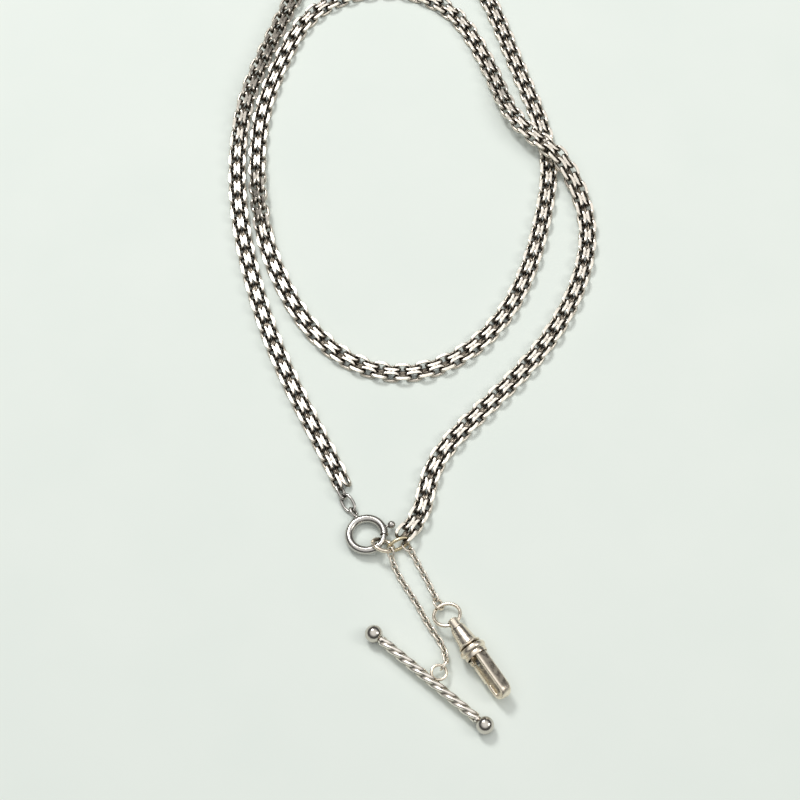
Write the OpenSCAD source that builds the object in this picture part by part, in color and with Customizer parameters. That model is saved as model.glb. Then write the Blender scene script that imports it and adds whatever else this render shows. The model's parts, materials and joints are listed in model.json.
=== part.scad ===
// Silver pocket watch chain: a double-looped guard chain closed by a bolt ring,
// with a twisted T-bar and a swivelling dog clip on short drop chains.
// The chain lies on a table: z = 0 is the table, +Y points away from the fittings.

/* [View] */
// sub-part to show, or all

/* [Main chain] */
// wire thickness of the double links
link_wire = 0.72; // [0.5:0.01:1]
// half length of a link ring, to the middle of its wire
link_a = 1.76; // [1.4:0.01:2.2]
// half width of a link ring, to the middle of its wire
link_b = 0.96; // [0.7:0.01:1.3]
// gap between the two rings of a double link, filled by solder
link_gap = 0.02; // [0.01:0.01:0.1]
// height the chain is filed flat to
link_flat = 1.86; // [1.6:0.01:2.1]
// pitch aimed at, centre to centre of double links
link_pitch = 2.5; // [2.3:0.01:2.7]

/* [Drop chains] */
// wire thickness of the fine links
drop_wire = 0.45; // [0.3:0.01:0.7]
// half length of a fine link, to the middle of its wire
drop_a = 0.97; // [0.8:0.01:1.2]
// half width of a fine link, to the middle of its wire
drop_b = 0.6; // [0.4:0.01:0.8]
// pitch aimed at for the fine links
drop_pitch = 1.35; // [1.2:0.01:1.5]

/* [Bolt ring] */
// radius of the middle line of the tube
bolt_r = 3.75; // [3:0.05:6]
// outside diameter of the tube
bolt_tube = 1.75; // [1.2:0.05:2.5]
// inside diameter of the tube
bolt_bore = 1.25; // [0.8:0.05:1.6]
// thickness of the sliding bolt
bolt_wire = 1.1; // [0.7:0.05:1.4]
// angle where the tube opens
bolt_open = -45; // [-60:1:-20]
// angle where the opening ends
bolt_shut = -3; // [-20:1:20]
// angle of the thumb knob with the bolt shut
knob_at = 22; // [10:1:40]
// how far the bolt slides back, degrees
bolt_travel = 38; // [30:1:45]
// diameter of the thumb knob
knob_d = 1.7; // [1:0.1:2.5]

/* [T-bar] */
// distance between the ball centres
bar_len = 29.6; // [20:0.1:40]
// thickness of the twisted bar
bar_d = 2.1; // [1.5:0.1:3]
// diameter of the end balls
ball_d = 3.7; // [2.5:0.1:5]
// turns of twist in the bar
bar_turns = 2.25; // [1:0.05:6]

/* [Dog clip] */
// width of the hook strap
strap_w = 2.65; // [2:0.05:4]
// thickness of the hook strap
strap_t = 1.0; // [0.6:0.05:1.6]
// outside diameter of the collar
collar_d = 5.8; // [4:0.1:8]
// travel of the gate, degrees
gate_travel = 18; // [10:1:30]

/* [Hidden] */
$fn = 48;
e = 0.01;

// puts the origin under the middle of the whole piece
shift = [0.55, 0.55, 0];

// ---------- routes: x, y, z, roll ----------
flat = 0.95;
main_route = [
    [-15.8, -49, flat, 0], [-18.8, -42.5, flat, 0], [-23.6, -33, flat, 0], [-28.6, -22.5, flat, 0],
    [-33, -11.5, flat, 0], [-36.5, 0, flat, 0], [-39, 10, flat, 0], [-41, 21, flat, 0],
    [-41.8, 32, 1.05, 0], [-41.6, 41, 1.3, 8], [-40.6, 50, 1.85, 26], [-38.2, 59, 2.05, 38],
    [-35, 68, 2.05, 40], [-32, 76.5, 2.05, 40], [-28.5, 85.5, 2.05, 38], [-23.5, 94, 1.85, 25],
    [-15, 100.5, 1.3, 8], [-4, 102.5, 1.05, 0], [6.5, 100, flat, 0], [14, 93, flat, 0],
    [18.8, 84, flat, 0], [22, 74.5, flat, 0], [24.6, 65.5, flat, 0], [27.2, 57, flat, 0],
    [29.8, 49, flat, 0], [31.8, 41, flat, 0], [32.6, 33, flat, 0], [31.8, 25, flat, 0],
    [29.8, 15, flat, 0], [26.5, 3, flat, 0], [20.5, -9.5, flat, 0], [10.5, -19.8, flat, 0],
    [-3, -24.3, flat, 0], [-15.8, -20, flat, 0], [-25.4, -9.5, flat, 0], [-31.8, 4, flat, 0],
    [-34.6, 13, 1.45, -12], [-35.8, 20, 2.05, -35], [-36.7, 27, 1.7, -25], [-37, 35, 1.15, 0],
    [-36.8, 46, flat, 0], [-34.3, 57, flat, 0], [-31, 66.5, flat, 0], [-27.6, 75, flat, 0],
    [-22, 81.3, flat, 0], [-14, 85, flat, 0], [-5, 86.5, flat, 0], [3, 84, flat, 0],
    [10.3, 79, flat, 0], [14.8, 71.5, flat, 0], [18.2, 63.4, 1, 0], [20.7, 55.7, 1.8, 0],
    [22.5, 48.5, 3.1, 0], [25.8, 42.5, 3.6, 0], [30.3, 38, 3.6, 0], [34.8, 33.8, 3.9, 0],
    [38, 28, 2.3, 0], [40.4, 21, flat, 0], [41, 11.5, flat, 0], [38.2, 0, flat, 0],
    [32.6, -11.5, flat, 0], [25, -21.8, flat, 0], [16, -31.2, flat, 0], [8.2, -39.2, flat, 0],
    [3.8, -46, flat, 0], [2.5, -52.5, 1, 0], [1.4, -57.4, 1.35, 0], [-1.7, -61.6, 1.9, 0]];
low = 0.68;
bar_route = [
    [-4.6, -67.6, 1.4, 0], [-4.1, -69.1, low, 0], [-2.7, -71.8, low, 0], [-0.9, -74.6, low, 0],
    [0.8, -77.4, low, 0], [2.1, -80.1, low, 0], [3.6, -82.8, low, 0], [5.3, -85, low, 0],
    [6.3, -87.7, 1.1, 0], [6.4, -89.1, 1.4, 0]];
clip_route = [
    [-0.5, -65.5, 0.85, 0], [0.3, -67.1, low, 0], [1.5, -69.5, low, 0], [2.8, -71.9, low, 0],
    [3.5, -73.7, low, 0], [4.4, -75.7, 1.1, 0]];

// smooth curve through a route: uniform cubic B-spline with straight ends
steps = 8;
function padded(r) = concat([2 * r[0] - r[1]], r, [2 * r[len(r) - 1] - r[len(r) - 2]]);
function mix4(p, i, t) = (pow(1 - t, 3) * p[i] + (3 * pow(t, 3) - 6 * t * t + 4) * p[i + 1]
    + (-3 * pow(t, 3) + 3 * t * t + 3 * t + 1) * p[i + 2] + pow(t, 3) * p[i + 3]) / 6;
function curve(r) = let (p = padded(r))
    concat([for (i = [0 : len(p) - 4], k = [0 : steps - 1]) mix4(p, i, k / steps)], [mix4(p, len(p) - 4, 1)]);
function gap_at(c, i) = norm([for (k = [0 : 2]) c[i][k] - c[i - 1][k]]);
function runs(c) = [for (i = 0, s = 0; i < len(c); i = i + 1, s = s + (i < len(c) ? gap_at(c, i) : 0)) s];
function axis_table(c, s, k) = [for (i = [0 : len(c) - 1]) [s[i], c[i][k]]];
function tables(r) = let (c = curve(r), s = runs(c)) [for (k = [0 : 3]) axis_table(c, s, k)];
function length_of(t) = t[0][len(t[0]) - 1][0];
function at(t, s) = [for (k = [0 : 2]) lookup(s, t[k])];
// point reach ahead (+) or behind (-), carried straight on past the ends
function beyond(t, s, h) = (s + h > length_of(t) + e || s + h < -e) ? 2 * at(t, s) - at(t, s - h) : at(t, s + h);

module on_route(t, s, reach) {
    d = beyond(t, s, reach) - beyond(t, s, -reach);
    translate(at(t, s) + shift) rotate([0, -atan2(d[2], norm([d[0], d[1]])), atan2(d[1], d[0])])
        rotate([lookup(s, t[3]), 0, 0]) children();
}

main_t = tables(main_route);
main_count = round(length_of(main_t) / link_pitch) + 1;
main_step = length_of(main_t) / (main_count - 1);
bar_t = tables(bar_route);
bar_count = round(length_of(bar_t) / drop_pitch) + 1;
bar_step = length_of(bar_t) / (bar_count - 1);
clip_t = tables(clip_route);
clip_count = round(length_of(clip_t) / drop_pitch) + 1;
clip_step = length_of(clip_t) / (clip_count - 1);

// ---------- small shapes ----------
// ring with straight sides, long axis along x; the sides are a hair thinner and run a hair into the ends
hair = 0.024;
module link_ring(a, b, wire) {
    for (half = [0, 180]) rotate(half) {
        translate([a - b, 0]) rotate(-90) rotate_extrude(angle = 180) translate([b, 0]) circle(d = wire);
        translate([0, b, 0]) rod_x(b - a - 3 * hair, a - b + 3 * hair, wire - hair);
    }
}
// oval ring from four arcs, its sides just as thin
module oval_ring(a, b, side_r, wire) {
    end_r = (pow(side_r, 2) - pow(side_r - b, 2) - a * a) / (2 * (side_r - a));
    turn = asin((a - end_r) / (side_r - end_r));
    for (half = [0, 180]) rotate(half) {
        translate([a - end_r, 0]) rotate(turn - 90)
            rotate_extrude(angle = 180 - 2 * turn) translate([end_r, 0]) circle(d = wire);
        translate([0, b - side_r]) rotate(89 - turn)
            rotate_extrude(angle = 2 * turn + 2) translate([side_r, 0]) circle(d = wire - hair);
    }
}
module round_ring(r, wire) { rotate_extrude() translate([r, 0]) circle(d = wire); }
module rod_x(x0, x1, d) { translate([x0, 0, 0]) rotate([0, 90, 0]) cylinder(d = d, h = x1 - x0); }
module cone_x(x0, x1, d0, d1) { translate([x0, 0, 0]) rotate([0, 90, 0]) cylinder(d1 = d0, d2 = d1, h = x1 - x0); }

// ---------- main chain ----------
strand = link_b * sin(45) + (link_wire + link_gap) / 2;
solder = [1.3, 0.5, 0.5];
module double_link() {
    intersection() {
        union() {
            for (side = [-1, 1]) translate([0, side * strand, 0]) rotate([-45 * side, 0, 0])
                link_ring(link_a, link_b, link_wire);
            translate([-solder[0] / 2, -solder[1] / 2, link_flat / 2 - solder[2]]) cube(solder);
        }
        translate([-5, -5, -link_flat / 2]) cube([10, 10, link_flat]);
    }
}
module stretch(first, last) {
    for (i = [first : last]) on_route(main_t, i * main_step, 1.2)
        rotate([i % 2 == 0 ? 0 : 180, 0, 0]) double_link();
}
silver = [0.78, 0.77, 0.74];
dull = [0.62, 0.61, 0.6];
warm = [0.82, 0.79, 0.72];
module bolt_leg_low() color(silver) stretch(0, 12);
module bolt_leg_high() color(silver) stretch(13, 25);
module left_outer() color(silver) stretch(26, 39);
module left_rolled() color(silver) stretch(40, 57);
module far_outer_left() color(silver) stretch(58, 71);
module far_outer_right() color(silver) stretch(72, 85);
module right_upper() color(silver) stretch(86, 98);
module right_under() color(silver) stretch(99, 116);
module loop_right() color(silver) stretch(117, 130);
module loop_left() color(silver) stretch(131, 144);
module left_kink() color(silver) stretch(145, 160);
module left_inner() color(silver) stretch(161, 176);
module far_inner() color(silver) stretch(177, 194);
module right_descent() color(silver) stretch(195, 208);
module crossing() color(silver) stretch(209, 222);
module right_outer_high() color(silver) stretch(223, 235);
module right_outer_low() color(silver) stretch(236, 248);
module watch_leg() color(silver) stretch(249, main_count - 1);

// ---------- bolt ring and its end of the chain ----------
bolt_z = 1.5;
bolt_tilt = 5;
tube_r = bolt_tube / 2;
eye_at = 118;
eye_roll = 52;
eye_out = 6.0;
module on_bolt() { translate([-10.1, -61.7, bolt_z] + shift) rotate(-45) rotate([0, -bolt_tilt, 0]) rotate(45) children(); }
module end_single_link() color(silver) on_route(main_t, 0, 1.2) translate([-2.45, strand, 0.1])
    rotate([45, 0, 0]) link_ring(link_a, link_b, link_wire);
module oval_jump_ring() color(dull) translate([-14.2, -54.3, 1] + shift) rotate([31, 0, -58])
    oval_ring(2.1, 1.2, 4.5, 0.7);
// the knob's slot runs the bolt's travel along the outside of the tube
module bolt_ring_tube() color(dull) on_bolt() difference() {
    rotate(bolt_shut) rotate_extrude(angle = 360 + bolt_open - bolt_shut)
        translate([bolt_r, 0]) difference() { circle(d = bolt_tube); circle(d = bolt_bore); }
    rotate(knob_at - 8) rotate_extrude(angle = bolt_travel + 16) translate([bolt_r + 0.2, -0.4]) square([1, 0.8]);
}
module bolt_ring_eye() color(dull) on_bolt() difference() {
    rotate(eye_at) translate([eye_out, 0, 0]) rotate([eye_roll, 0, 0]) {
        oval_ring(1.15, 0.85, 2.6, 0.6);
        translate([-0.9, 0, 0]) rotate([0, -90, 0]) cylinder(d = 0.9, h = 1);
    }
    round_ring(bolt_r, bolt_tube + 0.02);
}
module bolt() color(dull) on_bolt() {
    rotate(bolt_open - 2.5) rotate_extrude(angle = 44.5 - bolt_open) translate([bolt_r, 0]) circle(d = bolt_wire);
}
module thumb_knob() color(dull) on_bolt() difference() {
    rotate(knob_at) {
        rod_x(bolt_r, bolt_r + 1.5, 0.6);
        translate([bolt_r + 1.95, 0, 0]) sphere(d = knob_d);
    }
    round_ring(bolt_r, bolt_wire + 0.02);
}
// the return spring, drawn at its pressed length behind the bolt
module bolt_spring() color(warm) on_bolt() for (k = [0 : 13])
    rotate(84 + k * 4) translate([bolt_r, 0, 0]) rotate([90, 0, 0]) round_ring(0.44, 0.2);
module spring_stop() color(dull) on_bolt() rotate(141) rotate_extrude(angle = 10) translate([bolt_r, 0]) circle(d = bolt_bore - 0.04);

// ---------- rings at the watch end ----------
module joining_ring() color(warm) translate([-3.35, -63.95, 1.5] + shift) rotate([58, -10, 25]) oval_ring(2.25, 1.2, 4.5, 0.75);
module catch_ring() color(silver) translate([-6.6, -64.4, 2.05] + shift) rotate([-7, 43, 51]) oval_ring(2.3, 2.2, 2.4, 0.9);

// ---------- drop chains ----------
// fine links, turned to each side in turn
module drop_links(t, step, first, last, roll) {
    for (i = [first : last]) on_route(t, i * step, 0.6)
        rotate([i % 2 == 0 ? roll : -roll, 0, 0]) link_ring(drop_a, drop_b, drop_wire);
}
module bar_drop_top_link() color(silver) translate([-4.95, -66.15, 2.1] + shift) rotate([50, 38, -87]) oval_ring(1.25, 0.9, 2.6, drop_wire);
module bar_drop_upper() color(silver) drop_links(bar_t, bar_step, 0, 8, -45);
module bar_drop_lower() color(silver) drop_links(bar_t, bar_step, 9, bar_count - 1, -45);
module bar_drop_end_link() color(silver) translate([6, -90.5, 1.9] + shift) rotate([73, 3, -119]) oval_ring(1.25, 0.9, 2.6, drop_wire);
module clip_drop_top_link() color(silver) translate([-1.6, -64.2, 0.9] + shift) rotate([-30, 0, -50]) oval_ring(1.25, 0.9, 2.6, drop_wire);
module clip_drop() color(silver) drop_links(clip_t, clip_step, 0, clip_count - 1, 45);
module clip_small_ring() color(silver) translate([5, -77.2, 1.2] + shift) rotate([0, 45, 25]) round_ring(1.3, 0.5);

// ---------- T-bar ----------
bar_turn = -40.5;
module on_bar() { translate([2.85, -93.5, ball_d / 2] + shift) rotate(bar_turn) children(); }
neck = bar_len / 2 - ball_d / 2;
function lobe(a) = bar_d / 2 - 0.09 + 0.09 * cos(4 * a);
module bar_rod() color(silver) on_bar() {
    rotate([0, 90, 0]) translate([0, 0, 0.4 - neck]) linear_extrude(height = 2 * neck - 0.8, twist = 360 * bar_turns, slices = 40)
        polygon([for (a = [0 : 22.5 : 345]) lobe(a) * [cos(a), sin(a)]]);
    for (end = [0, 180]) rotate(end) {
        rod_x(neck - 0.5, neck + 0.1, 1.6);
        rod_x(neck, neck + 1.2, 1.1);
    }
}
module ball(end) {
    on_bar() rotate(end) difference() {
        translate([bar_len / 2, 0, 0]) sphere(d = ball_d);
        rod_x(neck - 0.1, neck + 0.12, 1.62);
        rod_x(neck - 0.1, neck + 1.22, 1.12);
    }
}
module ball_near_clip() color(silver) ball(0);
module ball_far() color(silver) ball(180);
module bar_ring() color(warm) on_bar() difference() {
    translate([0.7, 2.4, 0]) round_ring(1.55, 0.6);
    rod_x(-3, 4, bar_d + 0.04);
}

// ---------- dog clip ----------
clip_turn = -56.5;
clip_z = 2.95;
ring_r = 2.78;
ring_tilt = 20;
hole_x = 0.85;
module on_clip() { translate([7.65, -81.2, clip_z] + shift) rotate(clip_turn) children(); }
module clip_big_ring() color(warm) on_clip() translate([hole_x, 0, 0]) rotate([0, -ring_tilt, 0])
    translate([0.12 - ring_r, 0, 0]) round_ring(ring_r, 0.75);
module swivel_stem() color(warm) on_clip() difference() {
    union() {
        rod_x(0.25, 1.95, 2.3);
        cone_x(0, 0.25, 1.7, 2.3);
        rod_x(1.9, 2.2, 2.9);
        rod_x(2.1, 8.05, 1.1);
    }
    translate([hole_x, 2, 0]) rotate([90, 0, 0]) cylinder(d = 1.2, h = 4);
}
module swivel_rivet_head() color(warm) on_clip() difference() { rod_x(7.72, 8.3, 2); rod_x(7.6, 8.07, 1.12); }
module clip_bell() color(warm) on_clip() difference() {
    union() {
        cone_x(2.26, 6.5, 3.1, 4.2);
        rod_x(6.4, 6.9, 4.9);
        rotate([0, 90, 0]) translate([0, 0, 7.7]) rotate_extrude() translate([collar_d / 2 - 0.8, 0]) circle(d = 1.6);
        rod_x(6.8, 9.4, 2 * (collar_d / 2 - 0.35));
    }
    rod_x(2, 7.9, 1.2);
    rod_x(7.7, 10, 4.7);
}

// hook, gate and pin lie in a plane turned about the clip's axis
hook_roll = -25;
bend_x = 17.6;
bend_r = 1.5;
nose_x = 15.2;
pivot_x = 10.1;
hook_in = bend_r - strap_t / 2;
hook_out = bend_r + strap_t / 2;
module on_hook() { on_clip() rotate([hook_roll, 0, 0]) children(); }
// across the strap: a profile in x and z, pushed along y
module across(width) { translate([0, width / 2, 0]) rotate([90, 0, 0]) linear_extrude(width) children(); }
module strap_profile() {
    translate([9.2, hook_in]) square([bend_x - 9.2, strap_t]);
    intersection() {
        translate([bend_x, 0]) difference() { circle(r = hook_out); circle(r = hook_in); }
        translate([bend_x - e, -4]) square(8);
    }
    translate([nose_x, -hook_out]) square([bend_x - nose_x, strap_t]);
}
module clip_hook() color(warm) on_hook() {
    difference() {
        across(strap_w) strap_profile();
        translate([nose_x - 1, -5, -bend_r]) cube([1.7, 10, 3]);
        translate([nose_x - 1, -5, -bend_r + 0.2]) cube([2.2, 10, bend_r]);
    }
    rod_x(8.45, 9.3, 4.68);
    for (side = [-1, 1]) translate([0, side * 1.17, 0]) difference() {
        across(0.3) {
            translate([9.2, -1.9]) square([pivot_x - 9.2, 1.3]);
            translate([pivot_x, -1.4]) circle(d = 1);
        }
        translate([pivot_x, 1, -1.4]) rotate([90, 0, 0]) cylinder(d = 0.6, h = 2);
    }
}
module gate_pin() color(warm) on_hook() translate([pivot_x, 1.45, -1.4]) rotate([90, 0, 0]) cylinder(d = 0.58, h = 2.9);
module clip_gate() color(warm) on_hook() difference() {
    union() {
        across(1.9) {
            translate([pivot_x, -1.4]) circle(d = 1);
            translate([pivot_x, -1.87]) square([14.95 - pivot_x, 0.75]);
        }
        across(2.3) translate([11, -1.87]) square([3.95, 0.75]);
        across(2.3) translate([14.9, -1.47]) square([0.85, 0.35]);
    }
    translate([pivot_x, 2, -1.4]) rotate([90, 0, 0]) cylinder(d = 0.66, h = 4);
    translate([pivot_x - 1, -0.55, -2.2]) cube([2, 1.1, 2]);
}
module gate_spring() color(dull) on_hook() translate([pivot_x, 0, -1.4]) for (k = [-1 : 1])
    translate([0, k * 0.3, 0]) rotate([90, 0, 0]) round_ring(0.46, 0.16);

bolt_leg_low();
bolt_leg_high();
left_outer();
left_rolled();
far_outer_left();
far_outer_right();
right_upper();
right_under();
loop_right();
loop_left();
left_kink();
left_inner();
far_inner();
right_descent();
crossing();
right_outer_high();
right_outer_low();
watch_leg();
end_single_link();
oval_jump_ring();
bolt_ring_tube();
bolt_ring_eye();
bolt();
thumb_knob();
bolt_spring();
spring_stop();
joining_ring();
catch_ring();
bar_drop_top_link();
bar_drop_upper();
bar_drop_lower();
bar_drop_end_link();
clip_drop_top_link();
clip_drop();
clip_small_ring();
bar_rod();
ball_near_clip();
ball_far();
bar_ring();
clip_big_ring();
swivel_stem();
swivel_rivet_head();
clip_bell();
clip_hook();
gate_pin();
clip_gate();
gate_spring();
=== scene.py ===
import json
import math
import bpy
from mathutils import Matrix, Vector
import numpy as np


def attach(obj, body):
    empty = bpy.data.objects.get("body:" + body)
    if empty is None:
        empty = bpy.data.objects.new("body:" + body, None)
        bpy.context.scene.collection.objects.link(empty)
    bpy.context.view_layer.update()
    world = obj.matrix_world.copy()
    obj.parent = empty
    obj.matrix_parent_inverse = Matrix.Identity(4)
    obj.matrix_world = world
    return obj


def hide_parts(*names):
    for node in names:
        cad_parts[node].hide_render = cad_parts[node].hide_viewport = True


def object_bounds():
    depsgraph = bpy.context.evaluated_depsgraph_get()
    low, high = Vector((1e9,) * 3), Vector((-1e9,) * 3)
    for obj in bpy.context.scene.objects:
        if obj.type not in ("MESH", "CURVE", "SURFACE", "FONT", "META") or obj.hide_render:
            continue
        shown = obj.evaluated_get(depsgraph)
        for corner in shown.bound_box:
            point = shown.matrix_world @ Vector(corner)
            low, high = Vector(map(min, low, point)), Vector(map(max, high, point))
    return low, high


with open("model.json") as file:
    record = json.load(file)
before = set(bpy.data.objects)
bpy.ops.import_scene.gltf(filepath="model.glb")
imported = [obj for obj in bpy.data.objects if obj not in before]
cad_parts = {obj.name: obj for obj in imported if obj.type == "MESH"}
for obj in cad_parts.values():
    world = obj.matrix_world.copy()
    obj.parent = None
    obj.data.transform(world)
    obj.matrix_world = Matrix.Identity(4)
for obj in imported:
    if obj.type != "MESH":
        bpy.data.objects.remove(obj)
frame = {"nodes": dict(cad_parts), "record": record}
cad_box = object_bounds()

# ---------- sizes, in millimetres as in the CAD, turned into metres when a mesh is made ----------
MM = 0.001
# from the routes' origin to the middle of the part
SHIFT = np.array([0.55, 0.55, 0.0])
# a main link's wire, half length, half width and side radius, along the middle of the wire
LINK_WIRE, LINK_A, LINK_B, LINK_SIDE_R = 0.72, 1.76, 0.96, 4.5
LINK_LEAN = 45
LINK_TOP = 0.84
LINK_PITCH = 2.5
LINK_REACH = 1.2
# from the middle of a double link to the middle of each of its rings
STRAND = LINK_B * math.sin(math.radians(LINK_LEAN)) + 0.37
SOLDER_A, SOLDER_B = 0.62, 0.24
# share of the solder's rim and height, from its underside to its filed top
SOLDER_PROFILE = ((0.0, 0.4), (1.0, 0.45), (1.0, 0.8), (0.9, LINK_TOP), (0.0, LINK_TOP))
# the filed flats are polished, with painted highlight, above one height, the outer sides less so beyond one
# width; lower parts are painted darker
POLISH_LIGHT_FROM, OUTER_FROM, OUTER_REACH, OUTER_POLISH_LIGHT = 0.7, 1.45, 0.5, 0.55
FINE_WIRE, FINE_A, FINE_B, FINE_SIDE_R = 0.42, 0.98, 0.61, 2.2
FINE_LEAN = 45
FINE_PITCH = 1.35
FINE_REACH = 0.6
SLACK = 0.01

# ---------- routes: x, y, z, roll, chosen as in the CAD ------------------
# height of the middle of a main link on the table, and of a fine one (LOW)
FLAT = 0.95
MAIN_ROUTE = [
    [-15.8, -49, FLAT, 0], [-18.8, -42.5, FLAT, 0], [-23.6, -33, FLAT, 0], [-28.6, -22.5, FLAT, 0],
    [-33, -11.5, FLAT, 0], [-36.5, 0, FLAT, 0], [-39, 10, FLAT, 0], [-41, 21, FLAT, 0],
    [-41.8, 32, 1.05, 0], [-41.6, 41, 1.3, 8], [-40.6, 50, 1.85, 26], [-38.2, 59, 2.05, 38],
    [-35, 68, 2.05, 40], [-32, 76.5, 2.05, 40], [-28.5, 85.5, 2.05, 38], [-23.5, 94, 1.85, 25],
    [-15, 100.5, 1.3, 8], [-4, 102.5, 1.05, 0], [6.5, 100, FLAT, 0], [14, 93, FLAT, 0],
    [18.8, 84, FLAT, 0], [22, 74.5, FLAT, 0], [24.6, 65.5, FLAT, 0], [27.2, 57, FLAT, 0],
    [29.8, 49, FLAT, 0], [31.8, 41, FLAT, 0], [32.6, 33, FLAT, 0], [31.8, 25, FLAT, 0],
    [29.8, 15, FLAT, 0], [26.5, 3, FLAT, 0], [20.5, -9.5, FLAT, 0], [10.5, -19.8, FLAT, 0],
    [-3, -24.3, FLAT, 0], [-15.8, -20, FLAT, 0], [-25.4, -9.5, FLAT, 0], [-31.8, 4, FLAT, 0],
    [-34.6, 13, 1.45, -12], [-35.8, 20, 2.05, -35], [-36.7, 27, 1.7, -25], [-37, 35, 1.15, 0],
    [-36.8, 46, FLAT, 0], [-34.3, 57, FLAT, 0], [-31, 66.5, FLAT, 0], [-27.6, 75, FLAT, 0],
    [-22, 81.3, FLAT, 0], [-14, 85, FLAT, 0], [-5, 86.5, FLAT, 0], [3, 84, FLAT, 0],
    [10.3, 79, FLAT, 0], [14.8, 71.5, FLAT, 0], [18.2, 63.4, 1, 0], [20.7, 55.7, 1.8, 0],
    [22.5, 48.5, 3.1, 0], [25.8, 42.5, 3.6, 0], [30.3, 38, 3.6, 0], [34.8, 33.8, 3.9, 0],
    [38, 28, 2.3, 0], [40.4, 21, FLAT, 0], [41, 11.5, FLAT, 0], [38.2, 0, FLAT, 0],
    [32.6, -11.5, FLAT, 0], [25, -21.8, FLAT, 0], [16, -31.2, FLAT, 0], [8.2, -39.2, FLAT, 0],
    [3.8, -46, FLAT, 0], [2.5, -52.5, 1, 0], [1.4, -57.4, 1.35, 0], [-1.7, -61.6, 1.9, 0]]
LOW = 0.68
BAR_ROUTE = [
    [-4.6, -67.6, 1.4, 0], [-4.1, -69.1, LOW, 0], [-2.7, -71.8, LOW, 0], [-0.9, -74.6, LOW, 0],
    [0.8, -77.4, LOW, 0], [2.1, -80.1, LOW, 0], [3.6, -82.8, LOW, 0], [5.3, -85, LOW, 0],
    [6.3, -87.7, 1.1, 0], [6.4, -89.1, 1.4, 0]]
CLIP_ROUTE = [
    [-0.5, -65.5, 0.85, 0], [0.3, -67.1, LOW, 0], [1.5, -69.5, LOW, 0], [2.8, -71.9, LOW, 0],
    [3.5, -73.7, LOW, 0], [4.4, -75.7, 1.1, 0]]

# first and last link of each stretch of the main chain
STRETCHES = {
    "bolt_leg_low": (0, 12), "bolt_leg_high": (13, 25), "left_outer": (26, 39), "left_rolled": (40, 57),
    "far_outer_left": (58, 71), "far_outer_right": (72, 85), "right_upper": (86, 98),
    "right_under": (99, 116), "loop_right": (117, 130), "loop_left": (131, 144), "left_kink": (145, 160),
    "left_inner": (161, 176), "far_inner": (177, 194), "right_descent": (195, 208), "crossing": (209, 222),
    "right_outer_high": (223, 235), "right_outer_low": (236, 248), "watch_leg": (249, 259)}
BODY_OF = {n: b for b, members in frame["record"]["behaviour"]["bodies"].items() for n in members}


# ---------- turning and placing ----------
def turn(x=0.0, y=0.0, z=0.0):
    """Rotation matrix for turns about x, then y, then z, in degrees."""
    cx, cy, cz = (math.cos(math.radians(v)) for v in (x, y, z))
    sx, sy, sz = (math.sin(math.radians(v)) for v in (x, y, z))
    about_x = np.array([[1, 0, 0], [0, cx, -sx], [0, sx, cx]])
    about_y = np.array([[cy, 0, sy], [0, 1, 0], [-sy, 0, cy]])
    about_z = np.array([[cz, -sz, 0], [sz, cz, 0], [0, 0, 1]])
    return about_z @ about_y @ about_x


class Route:
    """A smooth curve through control points: a uniform cubic B-spline with straight ends."""

    SAMPLES = 8

    def __init__(self, points, pitch):
        p = np.array(points, float)
        p = np.vstack([2 * p[0] - p[1], p, 2 * p[-1] - p[-2]])
        t = np.arange(self.SAMPLES)[:, None] / self.SAMPLES
        weights = [(1 - t) ** 3, 3 * t ** 3 - 6 * t * t + 4, -3 * t ** 3 + 3 * t * t + 3 * t + 1, t ** 3]
        pieces = [sum(w * p[i + k] for k, w in enumerate(weights)) / 6 for i in range(len(p) - 3)]
        self.points = np.vstack(pieces + [(p[-3] + 4 * p[-2] + p[-1])[None] / 6])
        steps = np.linalg.norm(np.diff(self.points[:, :3], axis=0), axis=1)
        self.along = np.concatenate([[0], np.cumsum(steps)])
        self.length = self.along[-1]
        self.count = round(self.length / pitch) + 1
        self.step = self.length / (self.count - 1)

    def at(self, s):
        return np.array([np.interp(s, self.along, self.points[:, k]) for k in range(3)])

    def beyond(self, s, reach):
        inside = -SLACK <= s + reach <= self.length + SLACK
        return self.at(s + reach) if inside else 2 * self.at(s) - self.at(s - reach)

    def place(self, s, reach):
        """Rotation and position of a link at that distance along."""
        d = self.beyond(s, reach) - self.beyond(s, -reach)
        pitch = math.degrees(math.atan2(d[2], math.hypot(d[0], d[1])))
        yaw = math.degrees(math.atan2(d[1], d[0]))
        roll = np.interp(s, self.along, self.points[:, 3])
        return turn(0, -pitch, yaw) @ turn(roll), self.at(s)


main_route = Route(MAIN_ROUTE, LINK_PITCH)
bar_route = Route(BAR_ROUTE, FINE_PITCH)
clip_route = Route(CLIP_ROUTE, FINE_PITCH)


# ---------- shapes: each is (points, faces) in millimetres ----------
def oval_path(a, b, side_r, count):
    """Closed path of four arcs, long axis along x."""
    end_r = (side_r ** 2 - (side_r - b) ** 2 - a * a) / (2 * (side_r - a))
    half = math.asin((a - end_r) / (side_r - end_r))
    steps = count // 4
    top = [(side_r * math.sin(t), b - side_r + side_r * math.cos(t))
           for t in np.linspace(-half, half, steps, endpoint=False)]
    right = [(a - end_r + end_r * math.sin(t), end_r * math.cos(t))
             for t in np.linspace(half, math.pi - half, steps, endpoint=False)]
    path = np.array(top + right)
    return np.vstack([path, -path])


def round_path(r, count):
    t = np.linspace(0, 2 * math.pi, count, endpoint=False)
    return np.column_stack([r * np.cos(t), r * np.sin(t)])


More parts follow.
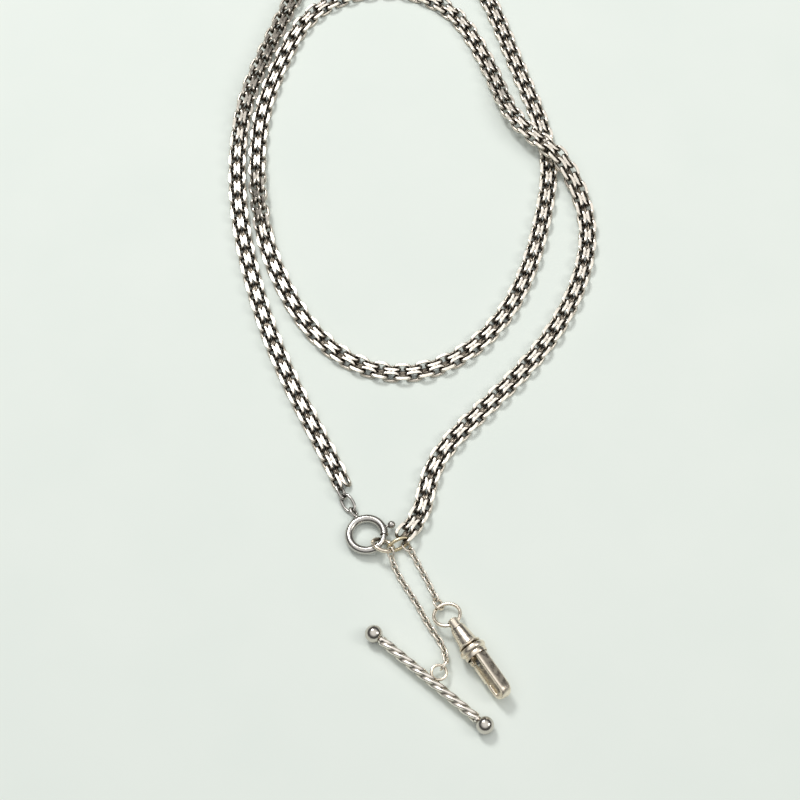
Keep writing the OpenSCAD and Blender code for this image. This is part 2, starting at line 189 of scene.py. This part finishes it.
def sweep(path, wire, sides):
    """A wire swept round a closed flat path."""
    ahead = np.roll(path, -1, 0) - np.roll(path, 1, 0)
    ahead /= np.linalg.norm(ahead, axis=1)[:, None]
    out = np.column_stack([ahead[:, 1], -ahead[:, 0]])
    phi = (np.arange(sides) + 0.5) * 2 * math.pi / sides
    flat = path[:, None] + wire / 2 * np.cos(phi)[None, :, None] * out[:, None]
    up = np.broadcast_to(wire / 2 * np.sin(phi), flat.shape[:2])
    points = np.dstack([flat, up]).reshape(-1, 3)
    return points, tube_faces(len(path), sides, closed=True)


def tube_faces(rings, sides, closed):
    i, k = np.meshgrid(np.arange(rings if closed else rings - 1), np.arange(sides), indexing="ij")
    nxt, side = (i + 1) % rings, (k + 1) % sides
    quads = np.stack([i * sides + k, nxt * sides + k, nxt * sides + side, i * sides + side], -1)
    return quads.reshape(-1, 4)


def lathe(profile, sides):
    """A closed solid turned about x from (x, radius) points; both ends have radius 0."""
    phi = np.arange(sides) * 2 * math.pi / sides
    points = [(x, r * math.cos(t), r * math.sin(t)) for x, r in profile for t in phi]
    return np.array(points), tube_faces(len(profile), sides, closed=False)


def moved(shape, rotation, position=(0, 0, 0)):
    points, faces = shape
    return points @ rotation.T + position, faces


def shifted(shape, position):
    points, faces = shape
    return points + position, faces


def joined(shapes):
    points, faces, start = [], [], 0
    for p, f in shapes:
        points.append(p)
        faces.append(f + start)
        start += len(p)
    return np.vstack(points), np.vstack(faces)


def double_link():
    """Two rings leaning against each other, filed flat on both faces and soldered where they touch.
    Also returns how polished and how lit each point is painted: 1 on the filed flats, polished and with
    painted highlight, 0 down in the hollows, with painted shade."""
    ring = sweep(oval_path(LINK_A, LINK_B, LINK_SIDE_R, 44), LINK_WIRE, 16)
    rings = [moved(ring, turn(-LINK_LEAN * side), (0, side * STRAND, 0)) for side in (-1, 1)]
    rim = round_path(1, 12) * (SOLDER_A, SOLDER_B)
    fill = np.vstack([np.column_stack([rim * share, np.full(len(rim), z)]) for share, z in SOLDER_PROFILE])
    fill_faces = tube_faces(len(SOLDER_PROFILE), len(rim), closed=False)[:, ::-1]
    points, faces = joined(rings + [(fill, fill_faces)])
    height = np.abs(points[:, 2])
    # painted highlight on the high filed flats, as well as their polishing, and painted shade lower down
    polish_and_painted_light = np.clip((height - POLISH_LIGHT_FROM) / (LINK_TOP - POLISH_LIGHT_FROM), 0, 1)
    outward = np.clip((np.abs(points[:, 1]) - OUTER_FROM) / OUTER_REACH, 0, 1)
    points[:, 2] = np.clip(points[:, 2], -LINK_TOP, LINK_TOP)
    return points, faces, np.maximum(polish_and_painted_light, OUTER_POLISH_LIGHT * outward)


# ---------- making Blender objects ----------
def make(name, shape, material, node, polish_and_painted_light=None, sharp=28):
    """A smooth mesh that stands for a CAD node and rides on its body.
    Edges past the sharp angle, in degrees, stay crisp."""
    points, faces = shape
    mesh = bpy.data.meshes.new(name)
    mesh.from_pydata(((points + SHIFT) * MM).tolist(), [], faces.tolist())
    mesh.update()
    mesh.validate()
    mesh.polygons.foreach_set("use_smooth", np.ones(len(mesh.polygons), bool))
    mesh.set_sharp_from_angle(angle=math.radians(sharp))
    if polish_and_painted_light is not None:
        # per point: polishing with painted highlight, and painted shade in the hollows
        layer = mesh.attributes.new("polish_and_painted_light", "FLOAT", "POINT")
        layer.data.foreach_set("value", polish_and_painted_light.astype(np.float32))
    piece = bpy.data.objects.new(name, mesh)
    bpy.context.scene.collection.objects.link(piece)
    mesh.materials.append(material)
    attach(piece, BODY_OF[node])
    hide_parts(node)


# ---------- materials ----------
# sizes of the noises, per metre, and how much polishing with its painted highlight and shade, open faces
# clear of the painted crevice shade, and patches each count for
PATCH_SCALE, SMEAR_SCALE, SCRATCH_SCALE = 350, 900, 2600
POLISH_LIGHT_SHARE, OPEN_SHARE, PATCH_SHARE = 0.6, 0.55, 0.3
SCRATCH_DEPTH = 0.00002


def new_material(name):
    material = bpy.data.materials.new(name)
    material.use_nodes = True
    nodes, links = material.node_tree.nodes, material.node_tree.links
    return material, nodes, links, nodes["Principled BSDF"]


def noise(nodes, links, scale, detail=3.0):
    place = nodes.new("ShaderNodeTexCoord")
    node = nodes.new("ShaderNodeTexNoise")
    node.inputs["Scale"].default_value = scale
    node.inputs["Detail"].default_value = detail
    links.new(place.outputs["Object"], node.inputs["Vector"])
    return node.outputs["Fac"]


def ramp(nodes, links, source, stops):
    node = nodes.new("ShaderNodeValToRGB")
    node.color_ramp.elements[0].position, node.color_ramp.elements[0].color = stops[0]
    node.color_ramp.elements[1].position, node.color_ramp.elements[1].color = stops[-1]
    for position, colour in stops[1:-1]:
        node.color_ramp.elements.new(position).color = colour
    links.new(source, node.inputs["Fac"])
    return node.outputs["Color"]


def math_node(nodes, links, operation, a, b):
    node = nodes.new("ShaderNodeMath")
    node.operation = operation
    node.use_clamp = True
    for socket, value in zip(node.inputs, (a, b)):
        if isinstance(value, (int, float)):
            socket.default_value = value
        else:
            links.new(value, socket)
    return node.outputs["Value"]


def crevice_shade(nodes, links, distance):
    """Painted shade: 1 on open faces, towards 0 where pieces meet."""
    node = nodes.new("ShaderNodeAmbientOcclusion")
    node.inputs["Distance"].default_value = distance
    return node.outputs["AO"]


def grey(level, warmth=0.0):
    """A grey, turned towards yellow by its warmth."""
    return (level * (1 + warmth), level, level * (1 - 1.4 * warmth), 1)


def metal(name, bright, dull, dark, rough, reach, polish_and_painted_light=False):
    """Polished metal with painted light: bright on polished parts and open faces, dull in patches, dark with
    painted shade in each crevice.
    The painted crevice shade is as wide as the reach, in metres; the flag says that the mesh has its own
    polished parts, with painted highlight and shade."""
    material, nodes, links, shader = new_material(name)
    # painted shade: ambient occlusion darkens the colour in each crevice and where pieces meet
    wear_and_painted_light = crevice_shade(nodes, links, reach)
    if polish_and_painted_light:
        # the mesh's polished parts lift the colour: painted highlight on the flats, painted shade in the
        # hollows
        layer = nodes.new("ShaderNodeAttribute")
        layer.attribute_name = "polish_and_painted_light"
        polish_light_part = math_node(nodes, links, "MULTIPLY", layer.outputs["Fac"], POLISH_LIGHT_SHARE)
        lift = math_node(nodes, links, "MULTIPLY", wear_and_painted_light, OPEN_SHARE)
        wear_and_painted_light = math_node(nodes, links, "ADD", polish_light_part, lift)
    patchy = math_node(nodes, links, "MULTIPLY", noise(nodes, links, PATCH_SCALE), PATCH_SHARE)
    wear_and_painted_light = math_node(nodes, links, "SUBTRACT", wear_and_painted_light, patchy)
    # from dark painted shade in each crevice, through dull patches, to bright metal
    colour = ramp(nodes, links, wear_and_painted_light, [(0.05, dark), (0.4, dull), (0.7, bright)])
    links.new(colour, shader.inputs["Base Color"])
    shader.inputs["Metallic"].default_value = 1.0
    smear = noise(nodes, links, SMEAR_SCALE, 2.0)
    roughness = ramp(nodes, links, smear, [(0.3, grey(rough * 0.7)), (0.7, grey(rough * 1.6))])
    links.new(roughness, shader.inputs["Roughness"])
    scratch = nodes.new("ShaderNodeBump")
    scratch.inputs["Strength"].default_value = 0.25
    scratch.inputs["Distance"].default_value = SCRATCH_DEPTH
    links.new(noise(nodes, links, SCRATCH_SCALE, 4.0), scratch.inputs["Height"])
    links.new(scratch.outputs["Normal"], shader.inputs["Normal"])
    return material


# near-black: tarnished silver deepened into painted shade; each metal's darkest colour below is painted shade
# in each crevice
tarnish_and_shade = (0.028, 0.017, 0.01, 1)
chain_silver = metal("chain_silver", grey(0.8, 0.09), grey(0.27, 0.14), tarnish_and_shade, 0.28, 0.0011, True)
fine_silver = metal("fine_silver", grey(0.84, 0.09), grey(0.4, 0.12), grey(0.03, 0.2), 0.3, 0.0006)
bolt_silver = metal("bolt_silver", grey(0.5, 0.05), grey(0.24, 0.07), grey(0.03, 0.1), 0.19, 0.001)
clip_silver = metal("clip_silver", grey(0.78, 0.12), grey(0.5, 0.15), grey(0.03, 0.25), 0.26, 0.0012)
bar_silver = metal("bar_silver", grey(0.58, 0.07), grey(0.28, 0.1), grey(0.03, 0.2), 0.15, 0.001)
rod_silver = metal("rod_silver", grey(0.86, 0.07), grey(0.34, 0.12), grey(0.02, 0.2), 0.27, 0.001, True)
gold = metal("gold", (0.7, 0.6, 0.4, 1), (0.4, 0.32, 0.2, 1), (0.05, 0.03, 0.02, 1), 0.25, 0.0008)
catch_silver = metal("catch_silver", grey(0.8, 0.13), grey(0.46, 0.15), grey(0.04, 0.2), 0.24, 0.001)
spring_wire = metal("spring_wire", grey(0.5), grey(0.3), grey(0.04), 0.3, 0.0004)


# ---------- camera, floor and light ----------
CAMERA_PLACE = np.array([-3, -196, 334.8])
CAMERA_TILT = 26.5
CAMERA_LENS = 75.92
SENSOR = 36
FLOOR_SIZE = 6
FLOOR_DROP = 0.00002
PAPER_TONES = [(0.3, (0.79, 0.845, 0.79, 1)), (0.7, (0.81, 0.86, 0.805, 1))]
SKY_TONES = [(0.0, grey(0.35)), (0.25, grey(0.07)), (0.55, grey(0.14)), (0.8, grey(1.0)), (1.0, grey(1.2))]
# place in metres, width, power and colour of each lamp; all of them face the origin
LIGHTS = {
    "key": ((-0.3, 0.5, 0.8), 0.28, 4.2, (1, 1, 1)),
    "fill": ((0.7, -0.1, 0.6), 0.4, 1.4, (1, 0.98, 0.95))}


def set_camera():
    data = bpy.data.cameras.new("camera")
    data.sensor_width = SENSOR
    data.lens = CAMERA_LENS
    data.clip_start, data.clip_end = 0.01, 10
    camera = bpy.data.objects.new("camera", data)
    camera.location = (CAMERA_PLACE + SHIFT) * MM
    camera.rotation_euler = (math.radians(CAMERA_TILT), 0, 0)
    bpy.context.scene.collection.objects.link(camera)
    bpy.context.scene.camera = camera


def set_floor():
    bpy.ops.mesh.primitive_plane_add(size=FLOOR_SIZE, location=(0, 0, cad_box[0][2] - FLOOR_DROP))
    floor = bpy.context.object
    floor.name = "floor"
    material, nodes, links, shader = new_material("paper")
    tone = ramp(nodes, links, noise(nodes, links, 40), PAPER_TONES)
    links.new(tone, shader.inputs["Base Color"])
    shader.inputs["Roughness"].default_value = 0.85
    shader.inputs["Specular IOR Level"].default_value = 0.1
    floor.data.materials.append(material)


def add_light(name, place, size, power, colour):
    data = bpy.data.lights.new(name, "AREA")
    data.shape, data.size = "DISK", size
    data.energy, data.color = power, colour
    light = bpy.data.objects.new(name, data)
    light.location = place
    light.rotation_mode = "QUATERNION"
    light.rotation_quaternion = (-Vector(place)).to_track_quat("-Z", "Y")
    bpy.context.scene.collection.objects.link(light)


def set_lights():
    world = bpy.data.worlds.new("studio")
    world.use_nodes = True
    nodes, links = world.node_tree.nodes, world.node_tree.links
    direction, split = nodes.new("ShaderNodeTexCoord"), nodes.new("ShaderNodeSeparateXYZ")
    links.new(direction.outputs["Generated"], split.inputs["Vector"])
    sky = ramp(nodes, links, split.outputs["Z"], SKY_TONES)
    links.new(sky, nodes["Background"].inputs["Color"])
    nodes["Background"].inputs["Strength"].default_value = 0.9
    bpy.context.scene.world = world
    bpy.context.scene.view_settings.view_transform = "Standard"
    for name, (place, size, power, colour) in LIGHTS.items():
        add_light(name, place, size, power, colour)


set_camera()
set_floor()
set_lights()


# ---------- main chain ----------
def build_stretches():
    points, faces, polish_and_painted_light = double_link()
    for name, (first, last) in STRETCHES.items():
        links = []
        for i in range(first, last + 1):
            rotation, position = main_route.place(i * main_route.step, LINK_REACH)
            links.append(moved((points, faces), rotation @ turn(180 * (i % 2)), position))
        make("chain_" + name, joined(links), chain_silver, name, np.tile(polish_and_painted_light, len(links)))


# ---------- rings and drop chains ----------
RING_SIDES = 24
# wires are round, so their facets stay smooth up to this angle
WIRE_SHARP = 60
OVAL_RING = oval_path(2.1, 1.2, 4.5, 64)
LONG_OVAL_RING = oval_path(2.25, 1.2, 4.5, 64)
WIDE_RING = oval_path(2.3, 2.2, 2.4, 72)
DROP_LINK = oval_path(1.25, 0.9, 2.6, 48)
SMALL_RING = round_path(1.3, 64)
# CAD node, path, wire, turns about x, y and z, place, metal
RINGS = {
    "jump_ring_piece": ("oval_jump_ring", OVAL_RING, 0.7, (31, 0, -58), (-14.2, -54.3, 1), bolt_silver),
    "gold_ring_piece": ("joining_ring", LONG_OVAL_RING, 0.75, (58, -10, 25), (-3.35, -63.95, 1.5), gold),
    "catch_ring_piece": ("catch_ring", WIDE_RING, 0.9, (-7, 43, 51), (-6.6, -64.4, 2.05), catch_silver),
    "bar_top_piece": (
        "bar_drop_top_link", DROP_LINK, FINE_WIRE, (50, 38, -87), (-4.95, -66.15, 2.1), fine_silver),
    "bar_end_piece": ("bar_drop_end_link", DROP_LINK, FINE_WIRE, (73, 3, -119), (6, -90.5, 1.9), fine_silver),
    "clip_top_piece": (
        "clip_drop_top_link", DROP_LINK, FINE_WIRE, (-30, 0, -50), (-1.6, -64.2, 0.9), fine_silver),
    "small_ring_piece": ("clip_small_ring", SMALL_RING, 0.5, (0, 45, 25), (5, -77.2, 1.2), clip_silver)}
# beside the first double link, on its outer strand
END_LINK_PLACE = (-2.45, STRAND, 0.1)


def fine_links(name, route, first, last, lean, node):
    """A run of fine links, leaning to each side in turn."""
    ring = sweep(oval_path(FINE_A, FINE_B, FINE_SIDE_R, 40), FINE_WIRE, 14)
    links = []
    for i in range(first, last + 1):
        rotation, position = route.place(i * route.step, FINE_REACH)
        links.append(moved(ring, rotation @ turn(lean if i % 2 == 0 else -lean), position))
    make(name, joined(links), fine_silver, node, sharp=WIRE_SHARP)


def build_end_link():
    rotation, position = main_route.place(0, LINK_REACH)
    wire = sweep(oval_path(LINK_A, LINK_B, LINK_SIDE_R, 64), LINK_WIRE, RING_SIDES)
    link = moved(wire, turn(LINK_LEAN), END_LINK_PLACE)
    make("end_link", moved(link, rotation, position), bolt_silver, "end_single_link", sharp=WIRE_SHARP)


def build_rings():
    for name, (node, path, wire, angles, position, material) in RINGS.items():
        shape = moved(sweep(path, wire, RING_SIDES), turn(*angles), position)
        make(name, shape, material, node, sharp=WIRE_SHARP)


# ---------- T-bar ----------
BAR_CENTRE = np.array([2.85, -93.5, 1.85])
BAR_TURN = turn(0, 0, -40.5)
# from the middle of the bar to where its rod meets each ball
BAR_NECK = 14.8 - 1.85
# how far the twist stops short of each neck
BAR_LAND = 0.4
BAR_R, RIDGE = 0.93, 0.12
RIDGES = 4
BAR_TWISTS = 2.25
# a collar and the spigot that goes into the ball: x from the neck, and radius
COLLAR = [(-0.5, 0), (-0.5, 0.72), (-0.42, 0.8), (0.02, 0.8), (0.1, 0.72), (0.1, 0.56), (1.2, 0.56), (1.2, 0)]
BAR_RING_R, BAR_RING_WIRE = 1.55, 0.6
BAR_RING_PLACE = (0.7, 2.4, 0)


def build_bar():
    """The ridged, twisted rod with a collar at each end, and the ring on its middle."""
    rows, sides = 240, 48
    x = np.linspace(BAR_LAND - BAR_NECK, BAR_NECK - BAR_LAND, rows)
    phi = np.arange(sides) * 2 * math.pi / sides
    ridges = np.cos(RIDGES * phi)
    r = BAR_R + RIDGE * ridges
    spin = 2 * math.pi * BAR_TWISTS * (x - x[0]) / (x[-1] - x[0])
    across = r[None] * np.cos(phi[None] + spin[:, None])
    along = r[None] * np.sin(phi[None] + spin[:, None])
    body = np.dstack([np.broadcast_to(x[:, None], across.shape), along, across]).reshape(-1, 3)
    caps = [np.tile([[end, 0, 0]], (sides, 1)) for end in (x[0], x[-1])]
    rod = (np.vstack([caps[0], body, caps[1]]), tube_faces(rows + 2, sides, closed=False))
    collar = shifted(lathe(COLLAR, 40), (BAR_NECK, 0, 0))
    whole = joined([rod] + [moved(collar, turn(0, 0, z)) for z in (0, 180)])
    # ridge crests are polished with painted highlight, the grooves painted darker as shade; the collars are
    # painted fully lit
    polish_and_painted_light = np.ones(len(whole[0]))
    polish_and_painted_light[:len(rod[0])] = np.tile(0.5 + 0.5 * ridges, rows + 2)
    make("twisted_rod", moved(whole, BAR_TURN, BAR_CENTRE), rod_silver, "bar_rod", polish_and_painted_light, sharp=40)
    ring = shifted(sweep(round_path(BAR_RING_R, 72), BAR_RING_WIRE, RING_SIDES), BAR_RING_PLACE)
    make("bar_ring_piece", moved(ring, BAR_TURN, BAR_CENTRE), clip_silver, "bar_ring", sharp=WIRE_SHARP)


# ---------- dog clip: x runs down the clip from the eye of its stem ----------
CLIP_START = np.array([7.65, -81.2, 2.95])
CLIP_TURN = turn(0, 0, -56.5)
BIG_RING_R, BIG_RING_WIRE = 2.78, 0.75
# the big ring hangs from the stem's eye and leans on it
EYE_X, EYE_PLAY, BIG_RING_LEAN = 0.85, 0.12, -20
BELL_PROFILE = [
    (2.26, 0), (2.26, 1.42), (2.36, 1.56), (2.5, 1.62), (5.9, 2.02), (6.15, 2.1), (6.25, 2.32), (6.45, 2.46),
    (6.65, 2.42), (6.82, 2.2), (6.9, 2.05), (6.98, 2.2), (7.08, 2.55), (7.3, 2.8), (7.6, 2.9), (7.9, 2.88),
    (8.2, 2.72), (8.38, 2.5), (8.46, 2.42), (8.6, 2.5), (9.2, 2.5), (9.38, 2.42), (9.4, 2.3), (9.3, 2.22),
    (8.5, 2.2), (8.5, 0)]
# the strap starts inside the bell, turns back at its bend and ends at its nose
STRAP_X, BEND_X, NOSE_X, BEND_R = 8.6, 17.6, 15.3, 1.5
STRAP_HALF_W, STRAP_HALF_T = 1.32, 0.5
# the strap narrows by this much over these shares of its length, and closes round its nose
NARROWING, NARROW_FROM, NARROW_OVER = 0.22, 0.35, 0.4
NOSE_SHARE = 0.045
# below 1 these square off a round section: across the strap, and through it
SQUARE_ACROSS, SQUARE_THROUGH = 0.45, 0.7
STRAP_SIDES = 28
HOOK_ROLL = -25
PIN_X, PIN_Z, CHEEK_R = 10.1, -1.4, 0.52
CHEEK_T, CHEEK_Y = 0.28, 1.17


def on_clip(shape):
    return moved(shape, CLIP_TURN, CLIP_START)


def build_big_ring():
    ring = sweep(round_path(BIG_RING_R, 96), BIG_RING_WIRE, RING_SIDES)
    ring = shifted(ring, (EYE_PLAY - BIG_RING_R, 0, 0))
    ring = moved(ring, turn(0, BIG_RING_LEAN, 0), (EYE_X, 0, 0))
    make("big_ring_piece", on_clip(ring), clip_silver, "clip_big_ring", sharp=WIRE_SHARP)


def build_bell():
    make("bell_piece", on_clip(lathe(BELL_PROFILE, 72)), clip_silver, "clip_bell", sharp=30)


def plate(outline, thickness):
    """A flat plate: an outline in x and z pushed along y, with softened rims and closed faces."""
    centre = outline.mean(0)
    rows = []
    for y, shrink in ((-1, 0.0), (-1, 0.9), (-0.7, 1.0), (0.7, 1.0), (1, 0.9), (1, 0.0)):
        ring = centre + (outline - centre) * shrink
        rows.append(np.column_stack([ring[:, 0], np.full(len(ring), y * thickness / 2), ring[:, 1]]))
    return np.vstack(rows), tube_faces(len(rows), len(outline), closed=False)


def strap_path():
    """The middle of the strap in x and z: down one side, round the bend and back to the nose."""
    straight = [(x, BEND_R) for x in np.linspace(STRAP_X, BEND_X, 30, endpoint=False)]
    bend = [(BEND_X + BEND_R * math.sin(t), BEND_R * math.cos(t))
            for t in np.linspace(0, math.pi, 28, endpoint=False)]
    nose = [(x, -BEND_R) for x in np.linspace(BEND_X, NOSE_X, 14)]
    return np.array(straight + bend + nose)


def squared(wave, power):
    return np.sign(wave) * np.abs(wave) ** power


def strap():
    """A domed band along that path, thinning to its nose."""
    path = strap_path()
    ahead = np.gradient(path, axis=0)
    ahead /= np.linalg.norm(ahead, axis=1)[:, None]
    out = np.column_stack([-ahead[:, 1], ahead[:, 0]])
    share = np.linspace(0, 1, len(path))
    past = np.clip((share - (1 - NOSE_SHARE)) / NOSE_SHARE, 0, 1)
    close = np.maximum(np.sqrt(1 - past ** 2), 0.02)
    half_width = (STRAP_HALF_W - NARROWING * np.clip((share - NARROW_FROM) / NARROW_OVER, 0, 1)) * close
    half_thick = STRAP_HALF_T * close
    t = np.arange(STRAP_SIDES) * 2 * math.pi / STRAP_SIDES
    across, domed = squared(np.cos(t), SQUARE_ACROSS), squared(np.sin(t), SQUARE_THROUGH)
    flat = path[:, None] + (half_thick[:, None] * domed[None])[..., None] * out[:, None]
    points = np.dstack([flat[..., 0], half_width[:, None] * across[None], flat[..., 1]]).reshape(-1, 3)
    ends = [np.tile(points[some].mean(0), (STRAP_SIDES, 1))
            for some in (slice(STRAP_SIDES), slice(-STRAP_SIDES, None))]
    whole = np.vstack([ends[0], points, ends[1]])
    return whole, tube_faces(len(path) + 2, STRAP_SIDES, closed=False)


def build_hook():
    """The strap with the two cheeks that hold the gate's pin."""
    t = np.linspace(-math.pi / 2, math.pi / 2, 14)
    rounded = np.column_stack([PIN_X + CHEEK_R * np.cos(t), PIN_Z + CHEEK_R * np.sin(t)])
    cheek = plate(np.vstack([[(STRAP_X, -1.95)], rounded, [(STRAP_X, -0.7)]]), CHEEK_T)
    hook = joined([strap()] + [shifted(cheek, (0, side * CHEEK_Y, 0)) for side in (-1, 1)])
    make("hook_piece", on_clip(moved(hook, turn(HOOK_ROLL))), clip_silver, "clip_hook", sharp=38)


# ---------- CAD nodes that keep their own meshes ----------
CARRIED = {
    "bolt_ring_tube": bolt_silver, "bolt_ring_eye": bolt_silver, "bolt": bolt_silver,
    "thumb_knob": bolt_silver, "spring_stop": bolt_silver,
    "bolt_spring": spring_wire, "gate_spring": spring_wire,
    "ball_near_clip": bar_silver, "ball_far": bar_silver,
    "swivel_stem": clip_silver, "swivel_rivet_head": clip_silver,
    "gate_pin": clip_silver, "clip_gate": clip_silver}
EDGE = 0.00012


def dress_carried():
    """CAD nodes whose shape is right keep their meshes and get their metals."""
    for name, material in CARRIED.items():
        node = frame["nodes"][name]
        node.data.materials.clear()
        node.data.materials.append(material)


def soften_gate():
    soft = frame["nodes"]["clip_gate"].modifiers.new("soft", "BEVEL")
    soft.width, soft.segments = EDGE, 3
    soft.limit_method, soft.angle_limit = "ANGLE", math.radians(40)


build_stretches()
fine_links("bar_drop_high", bar_route, 0, 8, -FINE_LEAN, "bar_drop_upper")
fine_links("bar_drop_low", bar_route, 9, bar_route.count - 1, -FINE_LEAN, "bar_drop_lower")
fine_links("clip_drop_links", clip_route, 0, clip_route.count - 1, FINE_LEAN, "clip_drop")
build_end_link()
build_rings()
build_bar()
build_big_ring()
build_bell()
build_hook()
dress_carried()
soften_gate()
